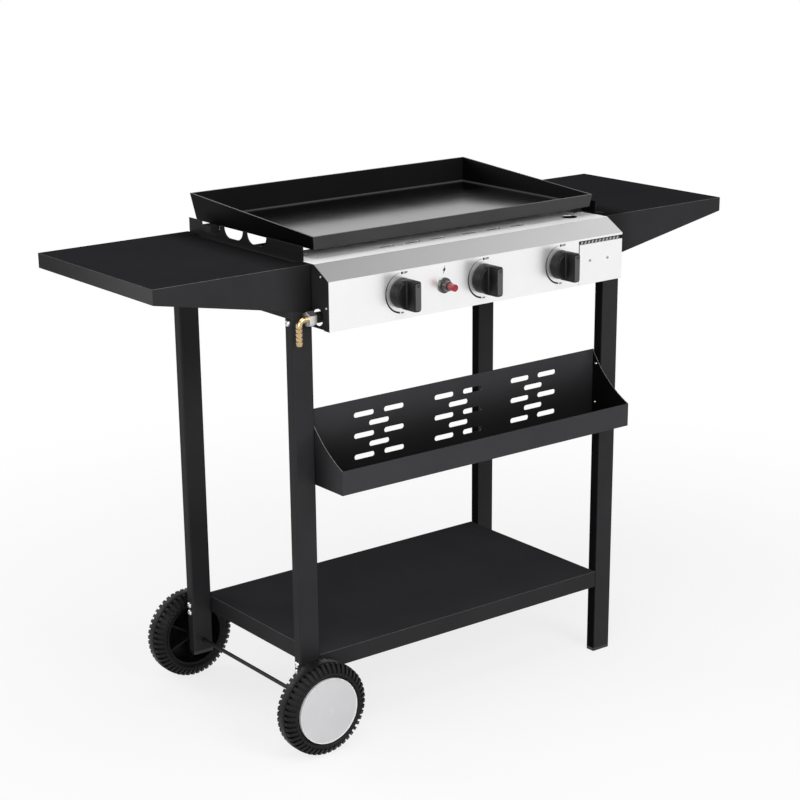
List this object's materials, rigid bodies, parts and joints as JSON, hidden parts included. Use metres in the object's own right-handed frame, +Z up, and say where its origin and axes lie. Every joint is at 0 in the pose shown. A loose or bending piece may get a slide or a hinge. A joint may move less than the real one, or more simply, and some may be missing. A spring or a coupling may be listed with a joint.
{
  "type": "gas griddle cart",
  "caption": "Wheeled gas griddle cart: flat flared cooking pan over a polished control box with knobs, side tables, slotted front tray and a bottom shelf.",
  "frame": {"origin": "on the floor, under the middle of the cart's bounding box", "axes": "+X to the right as seen from the front, +Y to the back, +Z up"},
  "size_m": [1.216, 0.509, 0.897],
  "materials": {
    "black_powder_coat": "satin black powder coat",
    "polished_steel": "polished stainless sheet",
    "plain_steel": "plain steel",
    "zinc_steel": "zinc plated",
    "black_steel": "black finished rod",
    "brass": "machined brass",
    "knob_plastic": "moulded black",
    "foot_plastic": "moulded black",
    "tyre_rubber": "moulded tread",
    "rim_plastic": "moulded black",
    "hubcap_plastic": "light grey",
    "griddle_plate": "black enamel with a smooth grey floor",
    "igniter_housing": "moulded black",
    "button_red": "moulded red"
  },
  "bodies": {
    "cart": {"axle": "black_steel", "burner_left": "plain_steel", "burner_middle": "plain_steel", "burner_right": "plain_steel", "cap_front_left": "foot_plastic", "cap_rear_left": "foot_plastic", "control_panel": "polished_steel", "drawer_guide": "plain_steel", "floor_pan": "black_powder_coat", "foot_front_right": "foot_plastic", "foot_rear_right": "foot_plastic", "front_tray": "black_powder_coat", "gas_inlet": "brass", "griddle_brackets": "black_powder_coat", "igniter": "igniter_housing", "inlet_nut": "zinc_steel", "leg_front_left": "black_powder_coat", "leg_front_right": "black_powder_coat", "leg_rear_left": "black_powder_coat", "leg_rear_right": "black_powder_coat", "manifold": "plain_steel", "rear_panel": "black_powder_coat", "shelf": "black_powder_coat", "side_panel_left": "black_powder_coat", "side_panel_right": "black_powder_coat", "spacer_front": "zinc_steel", "spacer_rear": "zinc_steel", "table_left": "black_powder_coat", "table_right": "black_powder_coat", "valve_left": "brass", "valve_middle": "brass", "valve_right": "brass"},
    "griddle": {"griddle": "griddle_plate"},
    "drawer": {"drawer_front": "polished_steel", "drawer_tray": "plain_steel"},
    "button": {"igniter_button": "button_red"},
    "knob_left": {"knob_left": "knob_plastic", "stem_left": "zinc_steel"},
    "knob_middle": {"knob_middle": "knob_plastic", "stem_middle": "zinc_steel"},
    "knob_right": {"knob_right": "knob_plastic", "stem_right": "zinc_steel"},
    "wheel_front": {"tyre_front": "tyre_rubber", "rim_front": "rim_plastic", "hubcap_front": "hubcap_plastic"},
    "wheel_rear": {"tyre_rear": "tyre_rubber", "rim_rear": "rim_plastic", "hubcap_rear": "hubcap_plastic"}
  },
  "joints": [
    {"name": "knob_left_turn", "type": "hinge", "parent": "cart", "child": "knob_left", "pos_m": [-0.1715, -0.2145, 0.774], "axis": [0, -1, 0], "range_deg": [0, 150]},
    {"name": "knob_middle_turn", "type": "hinge", "parent": "cart", "child": "knob_middle", "pos_m": [0, -0.2145, 0.774], "axis": [0, -1, 0], "range_deg": [0, 150]},
    {"name": "knob_right_turn", "type": "hinge", "parent": "cart", "child": "knob_right", "pos_m": [0.1715, -0.2145, 0.774], "axis": [0, -1, 0], "range_deg": [0, 150]},
    {"name": "button_press", "type": "slide", "parent": "cart", "child": "button", "axis": [0, 1, 0], "range_m": [0, 0.004], "stiffness_N_per_m": 700},
    {"name": "drawer_slide", "type": "slide", "parent": "cart", "child": "drawer", "axis": [0, -1, 0], "range_m": [0, 0.1]},
    {"name": "griddle_lift", "type": "slide", "parent": "cart", "child": "griddle", "axis": [0, 0, 1], "range_m": [0, 0.15]},
    {"name": "wheel_front_spin", "type": "hinge", "parent": "cart", "child": "wheel_front", "pos_m": [-0.3365, -0.193, 0.082], "axis": [0, 1, 0], "continuous": true},
    {"name": "wheel_rear_spin", "type": "hinge", "parent": "cart", "child": "wheel_rear", "pos_m": [-0.3365, 0.23, 0.082], "axis": [0, 1, 0], "continuous": true}
  ]
}
